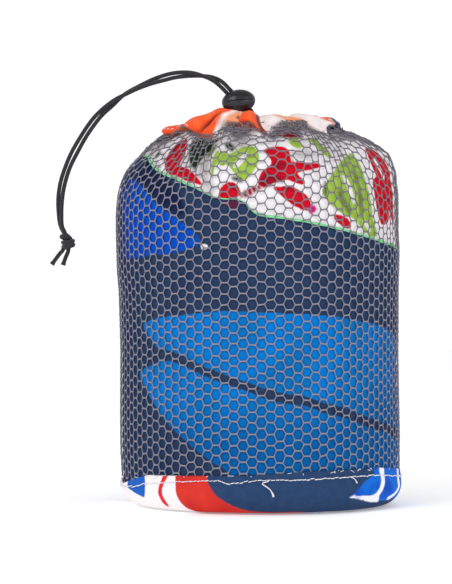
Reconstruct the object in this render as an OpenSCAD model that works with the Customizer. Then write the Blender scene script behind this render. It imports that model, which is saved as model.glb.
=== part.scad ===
// Rolled quick-dry towel packed in a drawstring mesh bag.
// Millimetres, +Z up, standing on the round fabric base at Z = 0, front face towards -Y.

/* [Bag] */
// Largest outside radius of the mesh wall, just below the shoulder
bag_r = 77.2; // [75:0.1:80]
// Outside radius where the bottom corner ends and the wall begins
foot_r = 76; // [74:0.1:77]
// Radius of the soft bottom corner
corner_r = 11; // [9:0.5:13]
// Height at which the wall turns into the gathered shoulder
shoulder_z = 165; // [155:1:170]
// Rise of the shoulder from the wall to the neck
shoulder_rise = 42; // [40:0.5:44]
// Radius at which the shoulder curve would close if it ran on to its top
neck_r = 33.4; // [32:0.2:35]
// Radius at which the mesh ends at the gathered neck
mouth_r = 51; // [50.6:0.1:51.6]
// Thickness of the mesh wall, yarn included
mesh_t = 0.8; // [0.6:0.1:1]
// Width of the vertical side seam along the wall
seam_w = 2.4; // [1.5:0.1:4]

/* [Base] */
// Height of the printed fabric band above the floor
band_h = 20.4; // [18:0.2:23]
// Thickness of the printed fabric
fabric_t = 0.8; // [0.6:0.1:1]
// Radius of the flat base panel
panel_r = 63; // [58:0.5:64]
// Distance from the band's upper edge down to its topstitch
stitch_drop = 3.6; // [3:0.1:6]
// Thickness of sewing thread
thread_d = 0.5; // [0.3:0.05:0.5]

/* [Neck] */
// Mean radius of the gathered drawcord channel
channel_r = 41; // [40:0.5:42]
// Half the width of the channel, from the mouth outwards
channel_half_w = 9.5; // [8.5:0.1:9.8]
// Half the height of the channel
channel_half_h = 3.2; // [3:0.1:3.3]
// Height of the channel's middle
channel_z = 208; // [207.5:0.1:208.2]
// Length of the buttonhole that lets both cord ends out
buttonhole_l = 11; // [10.5:0.1:12]
// Width of the buttonhole
buttonhole_w = 5; // [4.8:0.1:5.4]

/* [Cord] */
// Diameter of the round elastic drawcord
cord_d = 2.2; // [2:0.1:2.3]
// Distance between the two strands' centres inside the cord lock
strand_gap = 2.4; // [2.3:0.1:2.5]
// Radius of the tied end knot
knot_r = 4; // [3.6:0.1:4.2]

/* [Cord lock] */
// Length of the egg-shaped barrel
lock_l = 18; // [17:0.5:19]
// Diameter of the barrel across its middle
lock_d = 12.6; // [12:0.1:13]
// Tilt of the barrel's long axis above level, in degrees
lock_tilt = 7; // [0:1:12]
// Diameter of the plunger's stem
stem_d = 6.6; // [6.4:0.1:6.8]
// Diameter of the plunger's round button
button_d = 8.4; // [8:0.1:9]
// Travel of the plunger when it is pressed
press_travel = 2; // [1.5:0.1:2]
// Diameter of the spring wire
wire_d = 0.4; // [0.3:0.05:0.4]

/* [Towel] */
// Gap between the rolled towel and the outside of the bag
towel_gap = 2.2; // [2.2:0.1:3]
// Height of the rolled towel's flat top
towel_top = 201.5; // [197:0.5:201.5]
// Diameter of the overlocked edge
hem_d = 0.8; // [0.6:0.1:0.8]

/* [Hidden] */
$fn = 96;
eps = 0.01;
gap = 0.2;

// Angles around the bag are measured from the front, -Y, towards +X.
seam_angle = 86;
function around(angle, r) = [r * sin(angle), -r * cos(angle)];

// The bag's outline, as [radius, height] points moved outwards by off.
corner_mid = foot_r - corner_r;
shoulder_reach = bag_r - neck_r;
shoulder_end = acos((mouth_r - neck_r) / shoulder_reach);
function corner_point(a, off) =
    [corner_mid + (corner_r + off) * cos(a), corner_r + (corner_r + off) * sin(a)];
function shoulder_normal(a) =
    let (n = [cos(a) / shoulder_reach, sin(a) / shoulder_rise]) n / norm(n);
function shoulder_point(a, off) =
    [neck_r + shoulder_reach * cos(a), shoulder_z + shoulder_rise * sin(a)]
    + off * shoulder_normal(a);
function corner_line(off) = [for (a = [-90:15:0]) corner_point(a, off)];
function shoulder_line(off, last = shoulder_end) =
    [for (i = [0:9]) shoulder_point(last * i / 9, off)];
function reverse(list) = [for (i = [len(list) - 1:-1:0]) list[i]];
function wall_r(z) = foot_r + (bag_r - foot_r) * (z - corner_r) / (shoulder_z - corner_r);
// A point of the outline at about height z on the wall or the shoulder
function outline_point(z, off) = z < shoulder_z
    ? [wall_r(z) + off, z]
    : shoulder_point(asin(min(1, (z - shoulder_z) / shoulder_rise)), off);

// Sweeps a round tube along a list of points. None of its steps may run along side.
function unit(v) = v / norm(v);
function heading(pts, i) = unit(pts[min(i + 1, len(pts) - 1)] - pts[max(i - 1, 0)]);
module tube(pts, d, sides = 8, side = [0, 1, 0]) {
    count = len(pts);
    rings = [for (i = [0:count - 1])
        let (t = heading(pts, i), u = unit(cross(t, side)), v = cross(t, u))
        for (k = [0:sides - 1])
            pts[i] + d / 2 * (cos(360 * k / sides) * u + sin(360 * k / sides) * v)];
    walls = [for (i = [0:count - 2], k = [0:sides - 1])
        [i * sides + k, i * sides + (k + 1) % sides,
         (i + 1) * sides + (k + 1) % sides, (i + 1) * sides + k]];
    first = [for (k = [sides - 1:-1:0]) k];
    last = [for (k = [0:sides - 1]) (count - 1) * sides + k];
    polyhedron(rings, concat([first], walls, [last]));
}
// One extra point halfway along each step, on a smooth curve through the points
function smooth(pts) = let (n = len(pts) - 1) [for (i = [0:n])
    each (i == n ? [pts[i]]
        : [pts[i], (9 * (pts[i] + pts[i + 1]) - pts[max(i - 1, 0)] - pts[min(i + 2, n)]) / 16])];

// The cord leaves the lock up and to the left.
cord_lean = 45;
cord_y = -42;
lock_mid = [-11.7, -43, 217.9];
function in_lock(across, along) = [lock_mid[0], cord_y, lock_mid[2]]
    + across * [cos(cord_lean), 0, sin(cord_lean)]
    + along * [-sin(cord_lean), 0, cos(cord_lean)];

// Strand A comes from the right-hand side of the channel, strand B from the left.
loop_half_gap = 13;
loop_r = 41;
loop_z = 207.6;
function loop_end(side) = let (p = around(side * loop_half_gap, loop_r)) [p[0], p[1], loop_z];
route_a = [
    loop_end(1), [4.5, -41.6, 207.7], [0, -42.8, 208.2], [-4, -43.2, 209.2],
    in_lock(-strand_gap / 2, -7.2), in_lock(-strand_gap / 2, 0), in_lock(-strand_gap / 2, 7),
    in_lock(-strand_gap / 2, 13.5),
    [-26, -43, 229.4], [-30.7, -43.2, 231.4], [-36, -42.9, 233], [-42, -42.2, 233.4],
    [-48.5, -42, 232.6], [-56.5, -41.5, 230.1], [-64.5, -41, 226.3], [-72.4, -40.8, 221.9],
    [-79, -41, 215.7], [-85.3, -42, 209.7], [-92.2, -42, 200.3], [-97.7, -42, 190.6],
    [-101.8, -42, 182.2], [-104.6, -42, 172.9], [-105.8, -42.3, 165], [-106.1, -42.8, 157.5],
    [-105.8, -43.2, 151.5], [-104.3, -43.2, 146.2]];
route_b = [
    loop_end(-1), [-6, -41, 207.2], [-3, -40.7, 207.6], [-1.9, -40.7, 209.2],
    in_lock(strand_gap / 2, -9.4), in_lock(strand_gap / 2, 0), in_lock(strand_gap / 2, 7),
    in_lock(strand_gap / 2, 13.5),
    [-25.3, -40.8, 230.8], [-30.7, -40.8, 231.6], [-37, -41.1, 231.6], [-44.9, -41.8, 230.8],
    [-51.5, -42, 229.2], [-58, -42.7, 227.4], [-65.4, -43, 224.7], [-72.4, -43.2, 221.4],
    [-78, -43, 218.5], [-84.3, -42, 213.8], [-90.3, -42, 207.5], [-97, -42, 197.4],
    [-102.1, -42, 187.9], [-106.3, -42, 176.2], [-107.9, -41.4, 166.5], [-107.7, -40.9, 158],
    [-106.9, -40.8, 152.2], [-104.9, -40.8, 146.2]];
knot_mid = [-102.8, -42, 142.4];
tail_a_route = [[-105.2, -42.7, 138.6], [-107, -43, 136.7], [-109.2, -42.8, 133.8], [-111.2, -42.6, 131]];
tail_b_route = [[-103, -41.3, 138], [-103.6, -41.2, 135.8], [-104.6, -41.2, 133.2], [-105.4, -41.2, 130.6]];

// The towel's slanting edge: [angle from the front, height], from the shoulder round the back
hem_route = [[-95, 197], [-70, 192], [-51, 185], [-29, 172], [-11, 163], [14, 153.5],
    [46, 147], [70, 142], [100, 138], [140, 134], [180, 131], [220, 129], [248, 128]];
function hem_height(angle) = lookup(angle, hem_route);
hem_off = -(towel_gap + mesh_t) / 2;

module towel_roll() {
    outline = concat(
        [[0, towel_gap]],
        corner_line(-towel_gap),
        [for (p = shoulder_line(-towel_gap)) if (p[1] < towel_top - eps) p],
        [[mouth_r - towel_gap, towel_top], [0, towel_top]]);
    color("#2f4a7d") rotate_extrude() polygon(outline);
}

module towel_hem_edging() {
    path = [for (angle = [-95:7:248])
        let (p = outline_point(hem_height(angle), hem_off), xy = around(angle, p[0]))
            [xy[0], xy[1], p[1]]];
    color("#7fd69a") tube(path, hem_d, 6, [0, 0, 1]);
}

module bag_skin(outer_off, inner_off) {
    outline = concat(
        [[wall_r(band_h) + inner_off, band_h], [wall_r(band_h) + outer_off, band_h]],
        shoulder_line(outer_off), reverse(shoulder_line(inner_off)));
    rotate_extrude() polygon(outline);
}

// A wedge of the whole bag, as wide as the side seam at the wall
module seam_wedge(width) {
    rotate(seam_angle - 90) translate([bag_r / 2, -width / 2, 0])
        cube([bag_r, width, 2 * shoulder_z]);
}

module mesh_wall() {
    color("#8c8a96") difference() {
        bag_skin(0, -mesh_t);
        seam_wedge(seam_w + gap);
    }
}

module side_seam() {
    color("#77757f") difference() {
        intersection() {
            bag_skin(-thread_d / 2, -mesh_t);
            seam_wedge(seam_w);
        }
        seam_wedge(thread_d + gap);
    }
}

// The seam's thread shows between its two folded edges.
module side_seam_thread() {
    color("#e6e6ee") intersection() {
        bag_skin(0, -mesh_t);
        seam_wedge(thread_d);
    }
}

module base_panel() {
    color("#2c4a80") cylinder(r = panel_r, h = fabric_t);
}

module base_band() {
    outline = concat(
        [for (p = corner_line(0)) if (p[0] > panel_r + gap) p],
        [[wall_r(band_h - gap), band_h - gap], [wall_r(band_h - gap) - fabric_t, band_h - gap]],
        reverse([for (p = corner_line(-fabric_t)) if (p[0] > panel_r + gap) p]));
    color("#e8503c") rotate_extrude() polygon(outline);
}

// The band's and the panel's turned-in edges lie flat inside the bag.
module base_seam_allowance() {
    allowance_w = 5;
    color("#c9cad4") translate([0, 0, fabric_t + gap]) difference() {
        cylinder(r = panel_r, h = fabric_t);
        translate([0, 0, -eps]) cylinder(r = panel_r - allowance_w, h = fabric_t + 2 * eps);
    }
}

module thread_ring(r, z, d) {
    translate([0, 0, z]) rotate_extrude() translate([r, 0]) circle(d = d, $fn = 16);
}

module base_topstitch() {
    z = band_h - stitch_drop;
    color("#e6e6f0") thread_ring(wall_r(z) + thread_d / 2 + gap / 4, z, thread_d);
}

// Loose ends of sewing thread hang from the band's topstitch.
module thread_tails() {
    off = thread_d / 2 + gap;
    tails = [
        [[0.5, 14], [2, 12.6], [4.6, 12], [6.2, 10.6], [5.4, 9]],
        [[38.5, 16], [39, 14.6], [40, 13.4]]];
    color("#e6e6f0") for (tail = tails)
        tube([for (p = tail) let (xy = around(p[0], wall_r(band_h) + off)) [xy[0], xy[1], p[1]]],
            thread_d, 6);
}

module channel_outline(shrink) {
    half_flat = channel_half_w - channel_half_h;
    radius = channel_half_h - shrink;
    translate([channel_r, channel_z]) {
        square([2 * half_flat, 2 * radius], center = true);
        for (s = [-1, 1]) translate([s * half_flat, 0]) circle(r = radius, $fn = 48);
    }
}

module buttonhole_cut(extra, height) {
    linear_extrude(height) {
        square([buttonhole_l - buttonhole_w, buttonhole_w + 2 * extra], center = true);
        for (s = [-1, 1]) translate([s * (buttonhole_l - buttonhole_w) / 2, 0])
            circle(d = buttonhole_w + 2 * extra);
    }
}
buttonhole_mid = [-4.6, -42];

module neck_channel() {
    color("#f4703c") difference() {
        rotate_extrude() channel_outline(0);
        rotate_extrude() channel_outline(fabric_t);
        translate([buttonhole_mid[0], buttonhole_mid[1], channel_z]) buttonhole_cut(0, 2 * channel_half_h);
    }
}

module channel_topstitch() {
    reach = channel_half_h + thread_d / 2 + gap / 4;
    drop = 30;
    mid_r = channel_r + channel_half_w - channel_half_h;
    color("#e6e6f0") thread_ring(mid_r + reach * cos(drop), channel_z - reach * sin(drop), thread_d);
}

module neck_seam() {
    color("#6f6d78") thread_ring(mouth_r + gap, channel_z - channel_half_h, 1.3);
}

// Buttonhole stitches bind the edge of the opening.
module channel_buttonhole() {
    rim = 0.3;
    color("#e0522c") translate([buttonhole_mid[0], buttonhole_mid[1], channel_z + channel_half_h - fabric_t])
        difference() {
            buttonhole_cut(-gap / 4, fabric_t + gap / 2);
            translate([0, 0, -eps]) buttonhole_cut(-rim - gap / 4, fabric_t + gap);
        }
}

module drawcord_loop() {
    color("#37383c") rotate(-90 + loop_half_gap) translate([0, 0, loop_z])
        rotate_extrude(angle = 360 - 2 * loop_half_gap)
            translate([loop_r, 0]) circle(d = cord_d, $fn = 24);
}

module drawcord_strand_a() {
    color("#37383c") tube(smooth(route_a), cord_d);
}

module drawcord_strand_b() {
    color("#37383c") tube(smooth(route_b), cord_d);
}

module end_knot() {
    color("#2f3034") translate(knot_mid) sphere(r = knot_r, $fn = 48);
}

module cord_tail_a() {
    color("#37383c") tube(tail_a_route, cord_d);
}

module cord_tail_b() {
    color("#37383c") tube(tail_b_route, cord_d);
}

// Everything in the lock is drawn about its middle, with the plunger's axis along Y.
bore_depth = 4.5;
stem_front = -1.5;
slot_w = strand_gap + cord_d + 0.5;
slot_h = cord_d + 0.5;
module at_lock() {
    translate(lock_mid) children();
}

module cord_slot(from_y, to_y) {
    rotate([0, -cord_lean, 0]) translate([-slot_w / 2, from_y, -lock_l])
        cube([slot_w, to_y - from_y, 2 * lock_l]);
}

module cord_lock_barrel() {
    steps = 24;
    half_egg = [for (i = [0:steps]) [lock_d / 2 * sin(180 * i / steps), -lock_l / 2 * cos(180 * i / steps)]];
    slot_mid = cord_y - lock_mid[1];
    bore_d = stem_d + 0.2;
    color("#232327") at_lock() difference() {
        rotate([0, 90 - lock_tilt, 0]) rotate_extrude() polygon(half_egg);
        translate([0, -bore_depth, 0]) rotate([-90, 0, 0]) cylinder(d = bore_d, h = lock_d);
        cord_slot(slot_mid - slot_h / 2, slot_mid + slot_h / 2);
    }
}

module cord_lock_spring() {
    turns = 3;
    steps_per_turn = 12;
    coil_r = 2;
    free_l = bore_depth + stem_front - 2 * gap - wire_d;
    path = [for (i = [0:turns * steps_per_turn])
        let (a = 360 * i / steps_per_turn)
            [coil_r * cos(a),
             -bore_depth + gap + wire_d / 2 + free_l * i / (turns * steps_per_turn),
             coil_r * sin(a)]];
    color("#b9bcc2") at_lock() tube(path, wire_d, 6);
}

module cord_lock_plunger() {
    head_front = 8.1;
    head_edge = 1.2;
    head_l = 2.4;
    slot_mid = cord_y - lock_mid[1];
    color("#2b2b30") at_lock() difference() {
        rotate([-90, 0, 0]) rotate_extrude() polygon([
            [0, stem_front], [stem_d / 2, stem_front], [stem_d / 2, head_front],
            [button_d / 2, head_front], [button_d / 2, head_front + head_edge],
            [button_d / 2 - 0.5, head_front + 1.8], [button_d / 2 - 1.6, head_front + 2.2],
            [0, head_front + head_l]]);
        cord_slot(slot_mid - cord_d / 2 - 0.1, slot_mid + cord_d / 2 + press_travel + 0.2);
    }
}

towel_roll();
towel_hem_edging();
mesh_wall();
side_seam();
side_seam_thread();
base_panel();
base_band();
base_seam_allowance();
base_topstitch();
thread_tails();
neck_channel();
channel_topstitch();
neck_seam();
channel_buttonhole();
drawcord_loop();
drawcord_strand_a();
drawcord_strand_b();
end_knot();
cord_tail_a();
cord_tail_b();
cord_lock_barrel();
cord_lock_spring();
cord_lock_plunger();
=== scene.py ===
import math

import bpy
import numpy as np
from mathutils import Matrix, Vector


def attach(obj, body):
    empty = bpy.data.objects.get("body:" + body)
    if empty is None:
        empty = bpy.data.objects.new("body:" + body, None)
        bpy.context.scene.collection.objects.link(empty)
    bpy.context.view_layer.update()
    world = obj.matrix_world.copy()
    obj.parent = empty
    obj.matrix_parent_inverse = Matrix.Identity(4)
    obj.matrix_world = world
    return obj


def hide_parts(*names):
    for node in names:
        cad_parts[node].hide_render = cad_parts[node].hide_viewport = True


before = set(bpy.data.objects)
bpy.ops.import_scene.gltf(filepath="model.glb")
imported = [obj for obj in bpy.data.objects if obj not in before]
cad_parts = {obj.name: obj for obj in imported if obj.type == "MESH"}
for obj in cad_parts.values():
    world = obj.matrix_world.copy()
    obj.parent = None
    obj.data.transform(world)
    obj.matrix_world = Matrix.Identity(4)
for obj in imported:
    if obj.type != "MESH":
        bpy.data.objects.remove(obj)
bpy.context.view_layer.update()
MM = 0.001
scene = bpy.context.scene


# ---- camera
CAMERA_AT = (-0.01841, -1.420, 0.1163)
LENS_MM, SENSOR_MM, NEAREST_M = 159.3, 36, 0.05


def make_camera():
    cam = bpy.data.objects.new("camera", bpy.data.cameras.new("camera"))
    scene.collection.objects.link(cam)
    cam.location = CAMERA_AT
    cam.rotation_euler = (math.radians(90), 0, 0)
    cam.data.lens = LENS_MM
    cam.data.sensor_width = SENSOR_MM
    cam.data.clip_start = NEAREST_M
    scene.camera = cam
    scene.view_settings.view_transform = "Standard"


make_camera()


# ---- meshes
def make(name, verts, faces, mats, body="bag", values=None, smooth=True):
    """A mesh piece from points in millimetres and arrays of faces, each array of one face size"""
    me = bpy.data.meshes.new(name)
    verts = np.asarray(verts, float).reshape(-1, 3) * MM
    faces = [np.asarray(f, np.int32) for f in (faces if isinstance(faces, list) else [faces])]
    sizes = np.concatenate([np.full(len(f), f.shape[1]) for f in faces])
    me.vertices.add(len(verts))
    me.vertices.foreach_set("co", verts.astype(np.float32).ravel())
    me.loops.add(int(sizes.sum()))
    me.loops.foreach_set("vertex_index", np.concatenate([f.ravel() for f in faces]))
    me.polygons.add(len(sizes))
    me.polygons.foreach_set("loop_start", np.concatenate([[0], np.cumsum(sizes)[:-1]]).astype(np.int32))
    for m in mats if isinstance(mats, (list, tuple)) else [mats]:
        me.materials.append(m)
    me.update(calc_edges=True)
    me.validate()
    me.polygons.foreach_set("use_smooth", np.full(len(me.polygons), smooth))
    for key, value in (values or {}).items():
        a = me.attributes.new(key, "FLOAT", "POINT")
        a.data.foreach_set("value", np.asarray(value, np.float32).ravel())
    ob = bpy.data.objects.new(name, me)
    scene.collection.objects.link(ob)
    if body:
        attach(ob, body)
    return ob


def grid(nu, nv, wrap_round=False, flip=False):
    """Quads of a grid of nu columns by nv rows, with vertex index column * nv + row"""
    i = np.arange(nu if wrap_round else nu - 1)
    j = np.arange(nv - 1)
    i, j = np.meshgrid(i, j, indexing="ij")
    a, b = i * nv + j, ((i + 1) % nu) * nv + j
    q = np.stack([a, b, b + 1, a + 1], -1).reshape(-1, 4)
    return q[:, ::-1] if flip else q


def spline(points, step):
    """A smooth line through given points, sampled about every step"""
    p = np.asarray(points, float)
    p = np.vstack([2 * p[0] - p[1], p, 2 * p[-1] - p[-2]])
    out = []
    for i in range(1, len(p) - 2):
        n = max(1, int(math.ceil(np.linalg.norm(p[i + 1] - p[i]) / step)))
        t = (np.arange(n) / n)[:, None]
        out.append(0.5 * (2 * p[i] + (p[i + 1] - p[i - 1]) * t
                          + (2 * p[i - 1] - 5 * p[i] + 4 * p[i + 1] - p[i + 2]) * t ** 2
                          + (3 * p[i] - p[i - 1] - 3 * p[i + 1] + p[i + 2]) * t ** 3))
    return np.vstack(out + [p[-2:-1]])


def loop_spline(points, step):
    """A smooth closed line through given points, ending where it starts"""
    p = np.asarray(points, float)
    lead = spline(np.vstack([p[-2:], p, p[:3]]), step)
    first = int(np.argmin(np.linalg.norm(lead - p[0], axis=1)))
    again = first + 1 + int(np.argmin(np.linalg.norm(lead[first + 3:] - p[0], axis=1))) + 2
    return lead[first:again + 1]


def along(path):
    """The distance from the start of a path at each of its points"""
    return np.concatenate([[0], np.cumsum(np.linalg.norm(np.diff(path, axis=0), axis=1))])


def ring_axes(path, start):
    """Two normals at each point of a path, carried along without twist"""
    t = np.gradient(path, axis=0)
    t /= np.linalg.norm(t, axis=1)[:, None] + 1e-12
    n = np.empty_like(t)
    u = np.asarray(start, float)
    for i in range(len(path)):
        u = u - t[i] * (u @ t[i])
        if np.linalg.norm(u) < 1e-6:
            u = np.cross(t[i], (0.3, 0.5, 0.8))
        u = u / np.linalg.norm(u)
        n[i] = u
    return n, np.cross(t, n)


def tube_quads(rings, sides):
    """Quads between successive rings of vertices"""
    i = np.arange(rings - 1)[:, None] * sides
    k = np.arange(sides)
    after = (k + 1) % sides
    return np.stack([i + k, i + after, i + sides + after, i + sides + k], -1).reshape(-1, 4)


def sweep(path, radius, sides, wide=1.0, start=(0, 1, 0), relief=None):
    """A closed tube along a path. Returns vertices, faces and each vertex's place along and around."""
    path = np.asarray(path, float)
    n, b = ring_axes(path, start)
    r = np.broadcast_to(np.asarray(radius, float), (len(path),))
    a = np.arange(sides) / sides * 2 * np.pi
    s = along(path)
    rr = r[:, None] * np.ones(sides)
    if relief is not None:
        rr = rr * (1 + relief(s[:, None], a[None, :]))
    v = (path[:, None] + rr[..., None] * (wide * np.cos(a)[None, :, None] * n[:, None]
                                          + np.sin(a)[None, :, None] * b[:, None]))
    k = np.arange(sides)
    quads = tube_quads(len(path), sides)[:, ::-1]
    caps = np.stack([k[::-1], (len(path) - 1) * sides + k])[:, ::-1]
    return v.reshape(-1, 3), quads, caps, np.repeat(s, sides), np.tile(a, len(path))


def threads(name, parts, mat):
    """One piece made of one or more swept tubes"""
    verts, quads, caps, count = [], [], [], 0
    for v, q, c, *_ in parts:
        verts.append(v)
        quads.append(q + count)
        caps.append(c + count)
        count += len(v)
    return make(name, np.vstack(verts), [np.vstack(quads), np.vstack(caps)], mat)


def thicken(ob, thickness, offset=-1):
    """Gives a cloth surface its thickness, in metres"""
    mod = ob.modifiers.new("cloth thickness", "SOLIDIFY")
    mod.thickness, mod.offset = thickness, offset
    return mod


def ease(x, a, b):
    """0 below a, 1 above b, and a smooth rise between"""
    t = np.clip((np.asarray(x, float) - a) / (b - a), 0, 1)
    return t * t * (3 - 2 * t)


def pts(*numbers):
    """Given points, written as pairs: mostly an angle in degrees, and a height or radius in mm"""
    return np.reshape(numbers, (-1, 2))


def table(points, x):
    """The value at x of a line through points, in straight steps"""
    return np.interp(x, points[:, 0], points[:, 1])


def wrap(theta):
    """An angle brought to -180 to 180 degrees"""
    return (np.asarray(theta) + 180) % 360 - 180


def waves(seed, *coords, count=6, low=1.0, high=4.0):
    """Soft random waves of the given coordinates, about -1 to 1"""
    g = np.random.default_rng(seed)
    total = 0
    for _ in range(count):
        k = g.uniform(low, high, len(coords)) * g.choice([-1, 1], len(coords))
        total = total + np.sin(sum(kk * c for kk, c in zip(k, coords)) + g.uniform(0, 6.28))
    return total / math.sqrt(count * 2)


# ---- materials
def rgb(r, g, b):
    """A screen colour, 0 to 255, as linear RGBA"""
    def lin(c):
        c /= 255
        return c / 12.92 if c <= 0.04045 else ((c + 0.055) / 1.055) ** 2.4
    return (lin(r), lin(g), lin(b), 1)


class Shade:
    """A small builder of one procedural material"""

    def __init__(self, name, roughness=0.8, sheen=0.0, specular=0.3):
        self.mat = bpy.data.materials.new(name)
        self.mat.use_nodes = True
        self.tree = self.mat.node_tree
        self.out = self.tree.nodes["Principled BSDF"]
        self.out.inputs["Roughness"].default_value = roughness
        self.out.inputs["Specular IOR Level"].default_value = specular
        self.out.inputs["Sheen Weight"].default_value = sheen

    def put(self, socket, value):
        if isinstance(value, bpy.types.NodeSocket):
            self.tree.links.new(value, socket)
        else:
            socket.default_value = value

    def node(self, kind, inputs=(), **settings):
        """A new node, with values or links for some of its inputs"""
        n = self.tree.nodes.new(kind)
        for key, value in settings.items():
            setattr(n, key, value)
        for socket, value in dict(inputs).items():
            self.put(n.inputs[socket], value)
        return n

    def noise(self, scale, detail=2.0):
        place = self.node("ShaderNodeTexCoord").outputs["Object"]
        inputs = {"Vector": place, "Scale": scale, "Detail": detail}
        return self.node("ShaderNodeTexNoise", inputs).outputs["Fac"]

    def math(self, op, a, b=0.0):
        return self.node("ShaderNodeMath", {0: a, 1: b}, operation=op).outputs[0]

    def ramp(self, value, lo, hi):
        """0 below lo, 1 above hi"""
        return self.node("ShaderNodeMapRange", {0: value, 1: lo, 2: hi}).outputs[0]

    def mix(self, fac, a, b):
        return self.node("ShaderNodeMix", {0: fac, 6: a, 7: b}, data_type="RGBA").outputs[2]

    def mottle(self, scale, a, b, lo=0.3, hi=0.7, detail=2.0):
        """Two colours mixed in soft patches"""
        return self.mix(self.ramp(self.noise(scale, detail), lo, hi), a, b)

    def value(self, name):
        return self.node("ShaderNodeAttribute", attribute_name=name).outputs["Fac"]

    def inside(self, name, soft, ragged=None):
        """1 where a signed distance in mm is above 0, with an edge that is soft and may be ragged"""
        d = self.value(name)
        if ragged is not None:
            d = self.math("ADD", d, ragged)
        return self.ramp(d, -soft, soft)

    def paint_layers(self, c, layers):
        """Layers of print, and of painted shade, laid over a colour, each of them (name, colour, soft edge in
        mm, ragged edge)
        """
        for name, colour, soft, ragged in layers:
            c = self.mix(self.inside(name, soft, ragged), c, colour)
        return c

    def bump(self, height, strength, distance=0.0003):
        n = self.node("ShaderNodeBump", {"Strength": strength, "Distance": distance, "Height": height})
        self.put(self.out.inputs["Normal"], n.outputs[0])

    def colour(self, value):
        self.put(self.out.inputs["Base Color"], value)


def wander(s, amount=1.2, scale=260):
    """Noise in millimetres that makes a printed edge slightly uneven"""
    return s.math("MULTIPLY", s.math("SUBTRACT", s.noise(scale, 3.0), 0.5), amount)


def pile(s):
    """The fine nap of brushed microfibre"""
    s.bump(s.math("ADD", s.noise(2600), s.math("MULTIPLY", s.noise(700), 0.8)), 0.25)


def weave(s, fine, coarse, strength):
    """The bumps of a plain woven fabric"""
    s.bump(s.math("ADD", s.noise(fine, 1.0), s.noise(coarse)), strength)


NAVY = rgb(42, 60, 90)
AZURE = rgb(4, 116, 200)
ROYAL = rgb(5, 74, 182)
WHITE = rgb(240, 236, 240)
RED = rgb(208, 16, 38)
WINE = rgb(152, 20, 42)
LIME = rgb(164, 198, 78)
PINE = rgb(34, 56, 36)
MINT = rgb(128, 218, 150)

# how far the edge of a printed shape fades, in mm
CRISP = 0.35


def towel_blue():
    s = Shade("towel_blue_print_and_shade", 0.9, 0.0, 0.06)
    w = wander(s)
    light = s.mottle(42, AZURE, rgb(8, 104, 174), 0.42, 0.62, 3.0)
    s.colour(s.paint_layers(s.mottle(60, NAVY, rgb(38, 54, 84)), (
        ("p_royal", ROYAL, CRISP, w),
        # painted shade towards the left side
        ("p_left_shade", rgb(46, 50, 88), 6, None),
        ("p_inky", rgb(26, 34, 68), 1.5, w),
        ("p_azure", s.mix(s.inside("p_deep", 14), light, rgb(5, 90, 158)), CRISP, w),
        ("p_vein", NAVY, CRISP, w),
        ("p_wine", rgb(94, 30, 52), 0.8, w),
        ("p_fleck", WHITE, 0.3, None))))
    pile(s)
    return s.mat


def towel_floral():
    s = Shade("towel_floral_print_and_shade", 0.9, 0.0, 0.06)
    w = wander(s, 1.0)
    c = s.paint_layers(WHITE, (
        # painted shade of the towel's folds, in grey
        ("q_fold_shade", rgb(196, 190, 192), 2.2, w),
        ("q_lime", s.mottle(120, LIME, rgb(150, 186, 72), 0.35, 0.65), CRISP, w),
        ("q_olive", rgb(112, 128, 62), 1.2, w),
        ("q_pine", PINE, 0.8, w),
        ("q_red", RED, CRISP, w),
        ("q_wine", WINE, 0.8, w),
        ("q_magenta", rgb(196, 26, 120), 0.6, None),
        ("q_white", WHITE, 0.4, None)))
    # the towel lies in the deep folds of the gathered net, where little light gets in
    s.colour(s.mix(s.math("MULTIPLY", s.inside("q_deep", 1.6), 0.95), c, s.mix(0.86, c, rgb(56, 44, 52))))
    pile(s)
    return s.mat


def plain(name, colour, rough=0.8, grain=900, strength=0.2, darker=0.06, specular=0.3):
    """One colour with a slight grain"""
    s = Shade(name, rough, specular=specular)
    n = s.noise(grain, 3.0)
    s.bump(n, strength, 0.0002)
    dark = tuple(x * (1 - darker) for x in colour[:3]) + (1,)
    s.colour(s.mix(s.ramp(n, 0.3, 0.7), dark, colour))
    return s.mat


def yarn():
    """Grey warp-knit yarn, pinkish at the knit joints, with painted shade: darker over the white of the towel
    and where the net is gathered
    """
    s = Shade("mesh_yarn", 0.6)
    n = s.noise(2500, 3.0)
    s.bump(n, 0.5, 0.0002)
    c = s.mix(s.value("joint"), rgb(124, 127, 147), rgb(142, 137, 148))
    c = s.mix(s.value("yarn_shade"), c, rgb(112, 106, 112))
    s.colour(s.mix(s.ramp(n, 0.3, 0.7), s.mix(0.3, c, rgb(60, 56, 66)), c))
    return s.mat


m_blue, m_floral = towel_blue(), towel_floral()
m_edge = plain("towel_cut_edge", rgb(225, 225, 230))
m_mint = plain("mint_overlock_thread", MINT, 0.7, 1500, 0.4, 0.12)
m_yarn = yarn()
m_seam_yarn = plain("seam_mesh_yarn", rgb(128, 122, 132), 0.7, 1800, 0.5, 0.3)
m_thread = plain("white_sewing_thread", rgb(228, 226, 236), 0.6, 2400, 0.4, 0.12)
m_steel = plain("spring_steel", rgb(180, 182, 188), 0.25, 800, 0.05, specular=0.8)
m_steel.node_tree.nodes["Principled BSDF"].inputs["Metallic"].default_value = 1.0


# ---- shape of the bag
FOOT_R, BAG_R, CORNER_R, CORNER_MID = 76.0, 77.2, 11.0, 65.0
SHOULDER_Z, RISE, NECK_R, MOUTH_Z = 165.0, 42.0, 33.4, 203.5
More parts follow.
